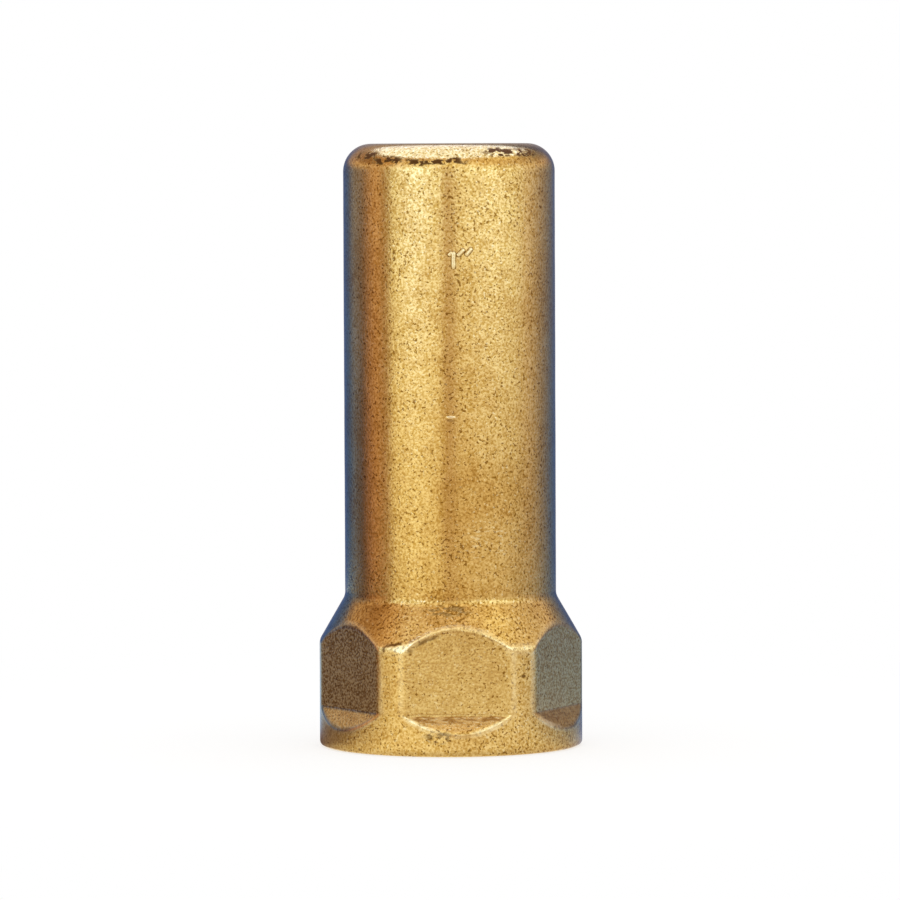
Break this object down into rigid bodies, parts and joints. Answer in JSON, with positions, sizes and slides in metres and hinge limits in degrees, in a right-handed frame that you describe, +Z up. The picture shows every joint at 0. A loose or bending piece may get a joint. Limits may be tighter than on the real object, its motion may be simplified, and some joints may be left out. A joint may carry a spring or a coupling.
{
  "type": "water hammer arrestor",
  "caption": "Forged brass water hammer arrestor: a closed tube with spanner flats and a female pipe thread, holding a sealed piston that slides against a coil spring.",
  "frame": {"origin": "centre of the body's bottom face, in the plane that meets the pipe", "axes": "+Z up along the body's axis towards the closed end, -Y towards the viewer, square to a spanner flat"},
  "size_m": [0.0448, 0.0448, 0.1025],
  "materials": {
    "forged_brass": "shot-blasted",
    "acetal": "turned",
    "seal_rubber": "matte",
    "spring_steel": "drawn wire",
    "ring_steel": "stamped"
  },
  "bodies": {
    "casing": {"body": "forged_brass", "retaining_ring": "ring_steel", "spring": "spring_steel"},
    "piston": {"piston": "acetal", "lower_o_ring": "seal_rubber", "upper_o_ring": "seal_rubber"}
  },
  "joints": [
    {"name": "piston_slide", "type": "slide", "parent": "casing", "child": "piston", "axis": [0, 0, 1], "range_m": [0, 0.04], "stiffness_N_per_m": 7770, "deforming": ["spring"]}
  ]
}
